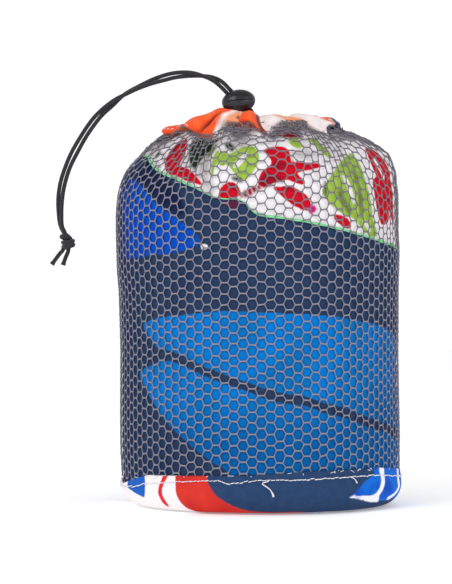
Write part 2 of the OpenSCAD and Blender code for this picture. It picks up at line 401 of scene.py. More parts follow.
# how far the left and the right side stand out from the round bag, by height
LEFT = pts(0,-1.5, 7.5,-1.2, 18.5,-0.7, 29.5,-0.3, 84,-0.6, 117,0.3, 128,1.2, 149,1.6, 159,1.5, 166,0.9,
    172,0.5, 182,-0.2, 185.5,-1.2, 189,-2.4, 192,-3, 195.4,-3.2, 198.7,-3.6, 202,-2.4, 205.3,-1, 208.6,-3)
RIGHT = pts(0,1.6, 7.5,1.6, 13,0.6, 18.5,0, 40,0.2, 62,-0.5, 84,-1.2, 117,-1.5, 139,-1.1, 149,-1.6,
    166,-1.6, 175.6,-1, 179,0.1, 182,0.9, 185.5,1.5, 189,2.6, 192,3.5, 195.4,2, 198.7,0.2, 202,-2,
    205.3,-2.4, 208.6,-4)


def base_r(z):
    """Radius of the plain round bag at a height in mm"""
    z = np.asarray(z, float)
    t = np.clip((z - SHOULDER_Z) / RISE, 0, (MOUTH_Z - SHOULDER_Z) / RISE)
    top = NECK_R + (BAG_R - NECK_R) * np.sqrt(1 - t * t) - 0.5 * np.maximum(z - MOUTH_Z, 0)
    low = CORNER_MID + CORNER_R * np.sqrt(1 - np.clip((CORNER_R - z) / CORNER_R, 0, 1) ** 2)
    wall = FOOT_R + (BAG_R - FOOT_R) * (z - CORNER_R) / (SHOULDER_Z - CORNER_R)
    return np.where(z > SHOULDER_Z, top, np.where(z < CORNER_R, low, wall))


def body_r(theta, z):
    """Radius of the filled bag at an angle in degrees from the front, and a height in mm"""
    th = np.radians(theta)
    s = np.sin(th)
    r = base_r(z)
    r = r + np.maximum(-s, 0) ** 1.5 * table(LEFT, z) + np.maximum(s, 0) ** 1.5 * table(RIGHT, z)
    soft = 0.5 * waves(3, np.cos(th) * 2, np.sin(th) * 2, np.asarray(z) / 40.0, low=0.7, high=1.8)
    return r + soft * ease(z, 14, 40)


def at(theta, r, z):
    """Points from an angle in degrees, a radius and a height in mm"""
    th = np.radians(theta)
    return np.stack(np.broadcast_arrays(r * np.sin(th), -r * np.cos(th), z), -1)


CASING_LOW = pts(-180,203, -160,200, -145,205.5, -128,206, -112,200, -98,203, -90,203.5, -72,203.4,
    -64,202.2, -57,201.2, -50,206.2, -48,207.4, -37.5,200.3, -31,199.6, -24.5,198.6, -18,205.9, -14.2,204.5,
    -10.6,205, -3.5,206.8, -0.8,201, 3.5,199.4, 5.5,200.4, 12,205.1, 14,206.8, 17.5,206.9, 20.3,206,
    23.5,206.9, 27.4,207.3, 29.4,205, 35.5,200.9, 40,198.4, 43.4,202.5, 46.6,207.4, 50,208, 51.6,205.8,
    57,205, 61,204, 75,203, 90,204, 104,200, 118,206, 135,205, 150,200.5, 166,206, 180,203)
# the middle and the width of each pleat of the net, both in degrees
PLEATS = pts(-66,5, -52,4, -18,6, -9,4, 12,5, 24,5, 54,6, 78,5, 97,5, 118,6, 133,5, 164,6, 186,5, 212,6,
    228,5, 258,6, 276,4)


def casing_low(theta):
    """Height of the casing's lower edge"""
    return table(CASING_LOW, wrap(theta))


# how far the gathered net reaches down from the casing
GATHER = pts(-180,5, -150,8, -120,5, -95,7, -77,6, -60,5, -50,4, -46,1, -28,1, -25,4, -16,7, -6,7, -3,1,
    3,1, 6,5, 18,7, 28,6, 33,1, 39,1, 42,7, 55,8, 64,5.5, 75,4, 95,5, 120,8, 150,5, 180,5)


def gathered_low(x):
    """Where the doubled, gathered net starts below the casing"""
    return casing_low(x) - table(GATHER, wrap(x)) - 1.2 * np.sin(np.radians(x) * 23)


def pleat(theta, z):
    """How far the net stands out of the towel near the gathered neck, 0 to 1"""
    th = np.asarray(theta) + 0.25 * (205 - np.asarray(z))
    total = 0
    for mid, width in PLEATS:
        total = total + np.exp(-(wrap(th - mid) / width) ** 2)
    sides = 1 - 0.75 * np.abs(np.sin(np.radians(np.asarray(theta)))) ** 4
    return np.minimum(total, 1.0) * ease(z, 176, 206) * sides


# ---- cord lock and cords
LOCK_MID = np.array([-11.7, -43.0, 217.9])
LOCK_HALF, LOCK_R, LOCK_TILT = 9.0, 6.3, 7
MOULD_LINE_UP, MOULD_LINE_DEEP, MOULD_LINE_WIDE = 0.35, 0.32, 0.18
BUTTON_BORE_R, BUTTON_BORE_LONG = 3.4, 17.1
CORD_SLOT = (5.1, 2.7, 36)
CORD_Y = -42.0
CORD_D = 2.2


def recolour(node, mat):
    """Gives a CAD node a material"""
    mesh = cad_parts[node].data
    if not mesh.materials:
        mesh.materials.append(mat)
    for i in range(len(mesh.materials)):
        mesh.materials[i] = mat


def lock_shell(mat):
    """The egg of the cord lock, with the fine mould line along the front of its dome"""
    tilt = math.radians(LOCK_TILT)
    e1 = np.array([math.cos(tilt), 0, math.sin(tilt)])
    e2 = np.array([0, -1.0, 0])
    e3 = np.array([-math.sin(tilt), 0, math.cos(tilt)])
    u = np.linspace(0, np.pi, 60)[1:-1]
    by_the_line = np.array([-0.075, -0.055, -0.03, 0.0, 0.03, 0.055, 0.075])
    a = np.sort(np.concatenate([np.linspace(-np.pi, np.pi, 84, endpoint=False) + 0.04, by_the_line]))
    ug, ag = np.meshgrid(u, a, indexing="ij")
    above = (LOCK_R * np.sin(ag) - MOULD_LINE_UP) * np.sin(ug)
    groove = MOULD_LINE_DEEP * np.exp(-(above / MOULD_LINE_WIDE) ** 2) * (np.cos(ag) > 0)
    rad = (LOCK_R * np.sin(ug) - groove)[..., None]
    p = LOCK_MID - LOCK_HALF * np.cos(ug)[..., None] * e1
    p = p + rad * (np.cos(ag)[..., None] * e2 + np.sin(ag)[..., None] * e3)
    n, m = ug.shape
    verts = np.vstack([p.reshape(-1, 3), [LOCK_MID - LOCK_HALF * e1], [LOCK_MID + LOCK_HALF * e1]])
    k = np.arange(m)
    after = (k + 1) % m
    left_cap = np.stack([after, k, np.full(m, n * m)], -1)
    right_cap = np.stack([(n - 1) * m + k, (n - 1) * m + after, np.full(m, n * m + 1)], -1)
    return make("cord_lock_body", verts, [tube_quads(n, m), left_cap, right_cap], mat, body=None)


def cord_lock():
    s = Shade("black_lock_plastic", 0.28, 0, 0.4)
    s.bump(s.noise(900, 3.0), 0.12, 0.0002)
    s.colour(s.mottle(150, rgb(20, 20, 24), rgb(26, 26, 31)))
    ob = lock_shell(s.mat)
    bore_mid, slot_mid = (LOCK_MID + [0, 4.05, 0]) * MM, (LOCK_MID + [0, 1.0, 0]) * MM
    bpy.ops.mesh.primitive_cylinder_add(vertices=48, radius=BUTTON_BORE_R * MM, depth=BUTTON_BORE_LONG * MM,
                                        location=bore_mid, rotation=(math.pi / 2, 0, 0))
    cutters = [bpy.context.object]
    bpy.ops.mesh.primitive_cube_add(size=1, location=slot_mid, rotation=(0, -math.pi / 4, 0))
    cutters.append(bpy.context.object)
    cutters[1].scale = [side * MM for side in CORD_SLOT]
    for cutter in cutters:
        mod = ob.modifiers.new("cut", "BOOLEAN")
        mod.operation, mod.object, mod.solver = "DIFFERENCE", cutter, "EXACT"
    bpy.context.view_layer.update()
    mesh = bpy.data.meshes.new_from_object(ob.evaluated_get(bpy.context.evaluated_depsgraph_get()))
    ob.modifiers.clear()
    ob.data = mesh
    mesh.set_sharp_from_angle(angle=math.radians(40))
    for cutter in cutters:
        bpy.data.objects.remove(cutter)
    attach(ob, "cord_lock")
    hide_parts("cord_lock_barrel")
    recolour("cord_lock_plunger", s.mat)
    return ob


lock_body = cord_lock()


def in_lock(across, alongside):
    """A point of a cord where it runs through the lock's slot"""
    c = math.sqrt(0.5)
    return (LOCK_MID[0] + (across - alongside) * c, CORD_Y, LOCK_MID[2] + (across + alongside) * c)


ROUTE_A = [
    (9.22, -39.95, 207.6), (4.5, -41.4, 207.3), (0, -42.7, 207.4), (-4.4, -43.2, 208.7),
    in_lock(-1.2, -7.2), in_lock(-1.2, 0), in_lock(-1.2, 7), in_lock(-1.2, 13.5), (-26, -43, 229.4),
    (-30.7, -43.2, 231.4), (-36, -42.9, 233), (-42, -42.2, 233.4), (-48.5, -42, 232.6),
    (-56.5, -41.5, 230.1), (-64.5, -41, 226.3), (-72.4, -40.8, 221.9), (-79, -41, 215.7),
    (-85.3, -42, 209.7), (-92.2, -42, 200.3), (-97.7, -42, 190.6), (-101.8, -42, 182.2),
    (-104.6, -42, 172.9), (-105.8, -42.3, 165), (-106.1, -42.8, 157.5), (-105.8, -43.2, 151.5),
    (-104.3, -43.2, 148)]
ROUTE_B = [
    (-9.22, -39.95, 207.6), (-7.4, -40.8, 206.9), (-5.4, -40.8, 207.1), (-4.4, -40.8, 209),
    in_lock(1.2, -8.8), in_lock(1.2, 0), in_lock(1.2, 7), in_lock(1.2, 13.5), (-25.3, -40.8, 230.8),
    (-30.7, -40.8, 231.6), (-37, -41.1, 231.6), (-44.9, -41.8, 230.8), (-51.5, -42, 229.2),
    (-58, -42.7, 227.4), (-65.4, -43, 224.7), (-72.4, -43.2, 221.4), (-78, -43, 218.5), (-84.3, -42, 213.8),
    (-90.3, -42, 207.5), (-97, -42, 197.4), (-102.1, -42, 187.9), (-106.3, -42, 176.2),
    (-107.9, -41.4, 166.5), (-107.7, -40.9, 158), (-106.9, -40.8, 152.2), (-104.9, -40.8, 148)]
# the tied knot, about its own middle: strand A makes the lower turns, strand B the upper one
KNOT_MID = np.array([-102.9, -42.0, 142.4])
KNOT_A = [
    (-0.8, -0.6, 3), (0, 0.4, 0.2), (0.6, 1.8, -1.8), (-1, 2.6, -2.4), (-2.3, 0.6, -2), (-1.2, -2.4, -1.9),
    (1.2, -2.9, -1.8), (3.1, -0.6, -1), (2, 2.2, -0.2), (-0.8, 2.5, 0.3), (-2.5, 0.4, 0.3),
    (-1.4, -2.6, 0.1), (1.2, -3, 0.5), (3, -0.8, 1.2), (1.8, 1.2, 0.8), (-0.4, 0.6, -0.8),
    (-1.8, -0.6, -2.4)]
KNOT_B = [
    (0.6, 0.6, 3.4), (1.2, 1.4, 2.2), (1.4, -0.4, 2.6), (-0.4, -2.3, 3.3), (-2.6, -1.6, 3.7),
    (-3.2, 0.4, 3.2), (-1.6, 1.8, 2.4), (0.8, 1.4, 1), (1, 0.2, -0.8), (0.6, -0.4, -2.6)]
TAIL_A = [(-105.6, -43.2, 138.2), (-107, -43, 136.7), (-109.2, -42.8, 133.8), (-111.2, -42.6, 131)]
TAIL_B = [(-102.7, -41.8, 137.6), (-103.6, -41.4, 135.6), (-104.6, -41.2, 133), (-105.4, -41.2, 130.6)]


def knot(points):
    return [tuple(KNOT_MID + p) for p in np.array(points)]


def braid(s, a):
    """The relief of the cord's braid, at a distance along it and an angle round it"""
    return 0.045 * np.cos(8 * a) * np.cos(2 * np.pi * s / 1.1)


def make_cord():
    s = Shade("black_braided_cord", 0.75, 0.2, 0.25)
    u, a = s.math("MULTIPLY", s.value("along"), 5.2), s.math("MULTIPLY", s.value("turn"), 4.0)
    left, right = (s.math("SINE", s.math(way, u, a)) for way in ("ADD", "SUBTRACT"))
    strands = s.math("MULTIPLY", left, right)
    s.bump(s.math("ADD", strands, s.noise(1800)), 0.5)
    s.colour(s.mix(s.ramp(strands, -0.6, 0.8), rgb(24, 23, 27), rgb(46, 45, 50)))
    for name, route in (("drawcord_end_a", ROUTE_A + knot(KNOT_A) + TAIL_A),
                        ("drawcord_end_b", ROUTE_B + knot(KNOT_B) + TAIL_B)):
        path = spline(route, 0.45)
        d = along(path)
        # the cut end is sealed, and a little thicker
        r = CORD_D / 2 + 0.3 * np.exp(-((d[-1] - d) / 1.2) ** 2)
        v, q, caps, u, a = sweep(path, r, 16, relief=braid)
        ob = make(name, v, [q, caps], s.mat, values={"along": u, "turn": a})
    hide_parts("drawcord_strand_a", "cord_tail_a", "end_knot")
    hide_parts("drawcord_strand_b", "cord_tail_b")
    recolour("drawcord_loop", s.mat)


make_cord()
recolour("cord_lock_spring", m_steel)


# ---- light and floor
LAMPS = (("key", (-0.9, -1.3, 1.1), 0.9, 9), ("fill", (1.0, -1.2, 0.5), 0.8, 4))
FLOOR_SIDE, FLOOR_Z = 4000, -0.3


def make_light():
    world = bpy.data.worlds.new("studio")
    scene.world = world
    world.use_nodes = True
    back = world.node_tree.nodes["Background"]
    back.inputs[0].default_value = (1, 1, 1, 1)
    # white round the horizon and dimmer overhead, like a studio sweep
    tree = world.node_tree
    split = tree.nodes.new("ShaderNodeSeparateXYZ")
    dim = tree.nodes.new("ShaderNodeMapRange")
    tree.links.new(tree.nodes.new("ShaderNodeTexCoord").outputs["Generated"], split.inputs[0])
    tree.links.new(split.outputs["Z"], dim.inputs["Value"])
    for socket, value in (("From Min", 0.3), ("From Max", 0.85), ("To Min", 1.07), ("To Max", 0.58)):
        dim.inputs[socket].default_value = value
    tree.links.new(dim.outputs[0], back.inputs[1])
    for name, place, size, power in LAMPS:
        lamp = bpy.data.lights.new(name, "AREA")
        lamp.shape, lamp.size, lamp.energy = "DISK", size, power
        ob = bpy.data.objects.new(name, lamp)
        scene.collection.objects.link(ob)
        ob.location = place
        ob.rotation_euler = (Vector((0, 0, 0.1)) - Vector(place)).to_track_quat("-Z", "Y").to_euler()
    s = Shade("pale_floor", 0.9, 0, 0)
    s.colour(rgb(255, 255, 255))
    s.out.inputs["Emission Color"].default_value = (1, 1, 1, 1)
    s.out.inputs["Emission Strength"].default_value = 0.24
    corners = [(x * FLOOR_SIDE, y * FLOOR_SIDE, FLOOR_Z) for x, y in ((-1, -1), (1, -1), (1, 1), (-1, 1))]
    floor = make("floor", corners, np.array([[0, 1, 2, 3]]), s.mat, body=None, smooth=False)


make_light()


# ---- prints, and painted shade
MM_PER_DEGREE = 1.3177
FAR = 12.0


def outline_distance(shape, x, z, per_degree):
    """Signed distance in mm, positive inside, to a closed outline of (angle, height) points"""
    p = loop_spline(shape * (per_degree, 1.0), 2.5)
    lo, hi = p.min(0) - FAR, p.max(0) + FAR
    near = (x > lo[0]) & (x < hi[0]) & (z > lo[1]) & (z < hi[1])
    xx, zz = x[near], z[near]
    square, inside = np.full(xx.shape, 1e9), np.zeros(xx.shape, bool)
    for a, b in zip(p[:-1], p[1:]):
        d = b - a
        t = np.clip(((xx - a[0]) * d[0] + (zz - a[1]) * d[1]) / (d @ d + 1e-9), 0, 1)
        square = np.minimum(square, (xx - a[0] - t * d[0]) ** 2 + (zz - a[1] - t * d[1]) ** 2)
        cross = (a[1] > zz) != (b[1] > zz)
        with np.errstate(divide="ignore", invalid="ignore"):
            inside ^= cross & (xx < d[0] * (zz - a[1]) / d[1] + a[0])
    out = np.full(x.shape, -FAR)
    distance = np.sqrt(square)
    out[near] = np.where(inside, distance, -np.minimum(distance, FAR))
    return out


def union(shapes, theta, z, per_degree=MM_PER_DEGREE):
    """Signed distance in mm to the nearest of several outlines"""
    out = np.full(np.shape(theta), -FAR)
    for shape in shapes:
        out = np.maximum(out, outline_distance(shape, theta * per_degree, z, per_degree))
    return out


AZURE_UP = pts(-56,99, -45,102.5, -33,104.2, -14.5,106.3, 0,105.7, 18,104.6, 31,103.4, 41,101.5, 61,97.6,
    80,91, 100,80, 112,66, 104,50, 86,42, 63,46, 47,50.6, 36,55.3, 26,58.2, 17,62, 6,64.3, -7,70, -22.5,77,
    -31.5,82, -40,85.5, -46,86.5, -51,92)
AZURE_LOW = pts(-59,73, -51,77, -42,80, -31.5,77, -22.5,72, -7,65, 6,59, 17,57, 26,53, 36,50, 47,45.4,
    63,40.8, 84,34, 100,24, 104,10, 60,0, -5,0, -13,21.5, -20,27.5, -34,40, -45.5,52.8, -55,66)
ROYAL_LEAF = pts(-120,176, -90,177, -68,177.5, -57,173, -50.5,168, -43,160.8, -34.5,154.6, -29,149.4,
    -26,145.4, -24.8,141.2, -36,137, -48,136, -60,134.5, -90,134, -115,128)
BACK_ROYAL = pts(140,120, 165,138, 200,140, 235,128, 215,112, 180,106, 155,110)
BACK_AZURE = pts(130,20, 150,55, 185,75, 225,78, 262,60, 240,36, 200,22, 160,12)
BACK_VEIN = pts(140,22, 160,37, 200,50, 240,57, 262,60, 240,53, 200,46, 160,33)
FLECK = pts(-25,140.2, -23.2,141.8, -21,139.9, -23,137.8)
INKY = pts(-62,190, -52,186, -44,178, -36,170, -31,160, -33,156, -42,162, -48,168, -56,174, -66,180)
WINE_EDGE = pts(-15,164, -10,164.2, -8,163.4, -9,160, -15,161)

BACK_RED = [
    pts(100,190, 112,192, 124,182, 118,168, 104,172), pts(205,190, 220,192, 232,180, 216,172),
    pts(150,168, 163,176, 176,168, 168,152, 154,154)]
RED_SHAPES = BACK_RED + [
    pts(-48,196, -43,197.5, -38.5,193, -37,187, -37.6,183, -37,177.6, -42.5,179, -46,184, -48,190),
    pts(-39,182.4, -33,181, -28,177.2, -24,172, -29,173.6, -37,177.2),
    pts(-17,165.7, -16.8,169.1, -15.5,171.9, -12.9,173.8, -10.3,172.6, -8.5,169.5, -8.5,166.6, -11.5,165,
        -14.5,164.6),
    pts(1.3,190.3, 3.8,191.8, 9.9,192.4, 12.5,190.4, 13,186.8, 12.6,184.4, 18,184, 25.6,183.6, 26,182,
        22.7,180.5, 17.8,179.4, 15,178, 18.4,173.6, 17,172.2, 13.5,173, 9.7,174.6, 3.6,172.4, 1.5,170.6,
        -1.1,171.5, -1.3,174, -0.2,178, 2,180.6, 4.2,183, 3.6,186),
    pts(4.6,170.4, 8.4,171.2, 11.8,171, 15.3,169.4, 18.9,166, 20.4,161.8, 19,158.6, 16.2,159.2, 12.2,162,
        8.7,165.6),
    pts(56,192, 64,193, 70,190, 74,183, 75,176, 78,164, 80,153, 73,156, 66,165, 61,173, 56,182),
    pts(54.3,175.4, 60.6,177.4, 64,172.4, 68,163, 69,155, 60.7,152.5, 56,161.6),
    pts(30,156.4, 34,156.6, 37.8,154.9, 39.6,151.3, 38,149.4, 34,151.4)]
WINE_SHAPES = [
    pts(7.4,199.8, 7.8,198, 11,197.2, 15,197, 19,196.8, 22,198, 22.4,200.4, 18.6,201, 14,201.8, 11,201.8),
    pts(-1.2,173.8, 0.4,177, 3,178.8, 5.5,177, 8.4,177, 9.6,174.4, 4.1,172.2, 1.4,170.2),
    pts(5,184, 11,183, 9,180, 4,181), pts(8.4,171.2, 11.6,171.6, 13,169.4, 9.4,168.8),
    pts(-9,165.6, -6.6,169, -2.2,171.7, 1.4,172.3, -2.2,168.3, -5.6,165.7),
    pts(-48.5,196, -45.6,197, -45.4,188, -47.8,188), pts(156,166, 164,168, 166,160, 158,160),
    pts(-12.6,172.8, -9.6,172, -9.6,169, -12,170)]
LIME_SHAPES = [
    pts(-14.9,187, -11,190.6, -6.8,192.7, -2.3,191.5, -0.8,186, -3.4,178.6, -6.9,174.4, -10,176.4,
        -12.4,179.9, -14.4,183.3), pts(-19.8,186.9, -16.5,190.4, -14.6,185.7, -15.6,182.2, -18.4,182.8),
    pts(40.5,188, 44.6,189.6, 47,186, 48,179.8, 50,171.7, 52.4,161.5, 53.6,154, 57,147, 52,145.6, 46,149.6,
        41.4,154.8, 36.7,156.4, 30.3,161, 25.9,167, 26.1,171.5, 31.6,179.4, 36,184.4),
    pts(13.5,197, 18.4,197.4, 19.6,192.2, 15,192),
    pts(24.4,197, 28,197.2, 31,192, 33,187.2, 30,187, 26.6,192),
    pts(-21.8,176.6, -21.7,183.5, -21,190.5, -19.6,190.5, -19.8,182, -20.5,175),
    pts(126,196, 140,190, 146,172, 134,160, 126,176), pts(182,192, 196,188, 198,166, 186,150, 178,170),
    pts(86,188, 94,188, 96,172, 90,168)]
PINE_SHAPES = [
    pts(-37,196, -33,198.4, -27,197, -26.4,190, -28.6,186, -29,180, -32.3,182.4, -34.9,187.4, -36.4,192),
    pts(-12,176.4, -8.4,175.8, -7.4,173.4, -12,174.6),
    pts(-18.4,194.8, -15.4,194.8, -12.2,191.5, -13,189.6, -16.2,191.3),
    pts(26,174, 27.4,174, 26.8,165, 25.4,167), pts(-58,191.6, -54.6,190, -55,187, -58,188.4)]
OLIVE_SHAPES = [
    pts(-27.6,190.7, -25.2,193.6, -21.8,193.4, -22.8,188.2, -25.2,185.9),
    pts(41.6,181, 43,181.6, 45.6,168, 46.6,156, 44.4,158, 43,170),
    pts(32,168, 34,170, 38,162, 40,157.4, 37,158.6), pts(-31,198, -27,198, -27,195, -31,196)]
# painted shade: grey patches in the folds of the floral towel near the neck
FOLD_SHADE_SHAPES = [
    pts(-29.1,186.4, -25.2,187.4, -21.6,182.3, -21,173.6, -18.4,170.8, -20.4,167.6, -24,171.4, -26.8,176.6),
    pts(-16,199, -8.7,199.6, -6,195.1, -9.1,190.3, -13.4,192.8), pts(-92,200, -60,200, -58,190, -70,190),
    pts(14,190, 22,191, 24,187, 15,186)]
MAGENTA = pts(18.6,160.4, 20.6,162.2, 22.8,160.6, 22,157.9, 19.6,157)
WHITE_SHAPES = [
    pts(-12,182.7, -7.5,188.7, -5.4,187.9, -10.2,180.8),
    pts(3.2,171.6, 9,173.6, 14,172, 17.6,170.4, 12,171.4, 8,171.6),
    pts(35.4,178, 37,178.6, 41,168, 41.4,162, 39.4,165), pts(46,154, 47.4,155, 52,149, 50,148.6),
    pts(59,187, 61,188, 66,178, 64,177)]


# ---- towel
HEM = pts(-124,194, -95,192, -78,190.4, -64,189, -54.2,184.1, -46.2,179.7, -41.9,177.8, -36.9,176.1,
    -31.1,172.8, -26,170.1, -21.2,166.8, -15.8,164.6, -8.5,164.4, -6,162.2, -3.8,158.6, -1.6,156.2,
    8.3,154.6, 16.2,153.2, 25.4,151.1, 34,149, 42.6,146.8, 57,143.4, 72.5,141.1, 100,138, 140,134, 180,131,
    236,128)
FREE_END, FIRST_TURN, LAST_TURN, HEM_ROWS = 236.0, 362, 1790, 66
# the towel's width in mm, less what its turnovers take up
TOWEL_WIDE = 780
TOWEL_CLOTH, PRINTED_CLOTH, SEAM_CLOTH = 0.0005, 0.0006, 0.0007
# dents in the top of the roll: angle, depth, width, and the heights between which they deepen
FOLDS = [
    (-28, 7, 5, 174, 192), (-9, 2.5, 6, 184, 200), (-48, 3, 5, 188, 204), (36, 2, 8, 186, 202),
    (70, 3, 8, 186, 204), (104, 3, 7, 180, 200), (150, 4, 7, 176, 196), (205, 4, 7, 178, 198)]


def towel_surface(theta, z, off):
    """Radius of a towel layer that lies off mm inside the bag's outline"""
    wall = body_r(theta, np.minimum(z, SHOULDER_Z))
    lean = np.maximum(wall - body_r(theta, z), 0) * (z > SHOULDER_Z)
    r = wall - off - lean * np.exp(-np.maximum(off - 3, 0) / 26)
    dent = 0
    for mid, deep, width, lo, hi in FOLDS:
        d = wrap(theta - mid - 0.15 * (z - 190))
        dent = dent + deep * np.exp(-(d / width) ** 2) * ease(z, lo, hi)
    return r - dent * np.exp(-off / 12)


def towel_keys(a, layer, theta, z):
    """The print of the towel and its painted shade: signed distances to their shapes, outside and inside the
    hem
    """
    front = a[:, None] <= FIRST_TURN
    outside = layer < 0.5
    blue = outside & front
    first = ~outside & front
    far = np.full(z.shape, -FAR)
    p = {}
    for key, shapes in (("p_azure", [AZURE_UP, AZURE_LOW, BACK_AZURE]), ("p_royal", [ROYAL_LEAF, BACK_ROYAL]),
                        ("p_vein", [BACK_VEIN]), ("p_inky", [INKY]), ("p_fleck", [FLECK])):
        p[key] = np.where(blue, union(shapes, theta, z), far)
    # painted shade: the navy is painted darker and more violet towards the left side of the bag
    violet = (-66 - theta) * 0.9 - 0.08 * np.abs(z - 120) + 3 * waves(12, theta / 9.0, z / 18.0)
    deep = np.maximum(np.minimum(50 - z, 18 - theta), 44 - z + 0.3 * theta) * 1.1
    frayed = union([WINE_EDGE], theta, z) + 2 * waves(13, theta / 1.5, z / 1.5) - 0.6
    for key, value in (("p_left_shade", violet), ("p_deep", deep), ("p_wine", frayed)):
        p[key] = np.where(blue, value, far)
    # further into the roll the print is plain random patches
    turns = np.radians(a)[:, None] + 0 * z
    later = waves(9, turns * 2.2, z / 22.0, count=7) * 9 - 4
    other = waves(10, turns * 2.6, z / 18.0, count=7) * 9 - 5
    for key, shapes, elsewhere in (
            ("q_red", RED_SHAPES, later), ("q_wine", WINE_SHAPES, later - 6),
            ("q_lime", LIME_SHAPES, other), ("q_pine", PINE_SHAPES, other - 6),
            ("q_olive", OLIVE_SHAPES, other - 9), ("q_fold_shade", FOLD_SHADE_SHAPES, far),
            ("q_magenta", [MAGENTA], far), ("q_white", WHITE_SHAPES, far)):
        p[key] = np.where(first, union(shapes, theta, z), elsewhere)
    # painted shade: the towel is painted darker above where the gathered net begins
    p["q_deep"] = np.where(first, z - gathered_low(theta) - 0.5, far)
    return p


def towel_sheet():
    """The towel folded in four and rolled: its points, and how far round and in which layer each one lies"""
    outer = np.linspace(0, 360, 206)
    inner = 360 + np.cumsum(np.linspace(5, 15, 128))
    a = np.concatenate([outer, inner[inner < LAST_TURN]])
    theta = FREE_END - a
    off_outer = 0.8 + 4.4 * ease(a, 325, 362) + 11.5 * np.clip(a - 360, 0, None) / 360
    gap = 1.25 + 1.15 * ease(a, 330, 760)
    hem = np.where(a <= 360, table(HEM, np.maximum(theta, -124)), 190 + 5 * np.sin(a / 80))
    low = 3.2 + 0 * a
    high = np.where(a <= 360, np.minimum(casing_low(theta) - 1.5, 202.5), 199.5)
    high = high + 0.8 * np.sin(np.radians(a) * 2.3) - 0.5
    rows_z, rows_layer = [], []

    def stretch(z0, z1, layer, steps):
        for t in np.linspace(0, 1, steps, endpoint=False):
            rows_z.append(z0 + (z1 - z0) * t)
            rows_layer.append(np.full_like(a, layer))

    def turnover(z, layer, way):
        for k in range(4):
            f = math.pi * k / 4
            rows_z.append(z + way * gap / 2 * math.sin(f))
            rows_layer.append(layer + (1 - math.cos(f)) / 2 + 0 * a)

    stretch(hem, low, 0, HEM_ROWS)
    turnover(low, 0, -1)
    show = np.minimum(hem - 6, 185)
    stretch(low, show, 1, 8)
    stretch(show, high, 1, 36)
    turnover(high, 1, 1)
    stretch(high, low + 3, 2, 7)
    turnover(low + 3, 2, -1)
    last = np.minimum(low + TOWEL_WIDE - (hem - low) - 2 * (high - low), high - 5)
    stretch(low + 3, last, 3, 7)
    rows_z.append(last)
    rows_layer.append(np.full_like(a, 3))
    z, layer = np.stack(rows_z, 1), np.stack(rows_layer, 1)
    th = theta[:, None] + 0 * z
    off = off_outer[:, None] + layer * gap[:, None]
    r = towel_surface(th, z, off)
    r = r + 0.25 * waves(5, th / 7.0, z / 16.0, count=8) * ease(off, 0.5, 3) * ease(z, 150, 190)
    z = z + (z > 196) * 0.8 * waves(6, th / 9.0, layer * 2.0)
    return a, layer, th, z, at(th, r, np.maximum(z, 1.6))


def overlock(u, k):
    """The relief of an overlocked edge"""
    return 0.22 * np.cos(2 * np.pi * u / 1.3 + 1.5 * np.cos(k))


def towel():
    a, layer, theta, z, v = towel_sheet()
    ob = make("rolled_towel", v, grid(*z.shape), [m_blue, m_floral, m_edge],
              values=towel_keys(a, layer, theta, z))
    mod = thicken(ob, TOWEL_CLOTH)
    mod.material_offset, mod.material_offset_rim = 1, 2
    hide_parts("towel_roll")
    path = spline(v[a <= 352][::2, 0] + np.array([0, 0, 0.2]), 1.2)
    turn = np.degrees(np.arctan2(path[:, 0], -path[:, 1]))
    rolled = ease(turn, -33, -28) * (1 - ease(turn, -5, 0))
    hem = sweep(path, 0.62 - 0.3 * rolled, 8, wide=0.62, start=(0, -1, 0), relief=overlock)
    hem_ob = threads("towel_mint_edging", [hem], m_mint)
    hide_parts("towel_hem_edging")
    end = sweep(spline(v[0, :HEM_ROWS + 1:3], 1.2), 0.8, 8, wide=0.7, start=(0, -1, 0), relief=overlock)
    free = threads("towel_end_edging", [end], m_mint)


towel()


# ---- net
def profile():
    """Heights along the bag's outline, and the distance in mm up that outline to each"""
    z = np.concatenate([np.linspace(8, SHOULDER_Z, 200), np.linspace(SHOULDER_Z, 210, 180)[1:]])
    return z, along(np.stack([base_r(z), z], -1))


PROFILE_Z, PROFILE_S = profile()
PLEAT_OUT, YARN_SIDES = 5.0, 4
BAND_TOP = pts(-180,18, -120,17, -95,13.5, -78,11.4, -52.5,18.2, -0.9,20.3, 15.9,21.9, 45.1,22.2, 57.7,21.8,
    80,19.5, 100,18.5, 140,19.5, 180,18)


def up_to(z):
    return np.interp(z, PROFILE_Z, PROFILE_S)


def height_at(s):
    return np.interp(s, PROFILE_S, PROFILE_Z)


def band_top(theta):
    """Height of the top edge of the base's band"""
    return table(BAND_TOP, wrap(theta))


def net_place(theta, s, lift, jitter):
    """A point of the net at an angle, and a distance in mm up along the bag's outline"""
    z = height_at(s)
    front = 1 - 0.8 * np.abs(np.sin(np.radians(theta))) ** 6
    r = body_r(theta, z) + 0.25 + PLEAT_OUT * pleat(theta, z) + lift + jitter * ease(z, 182, 206) * front
    return at(theta, r, z)


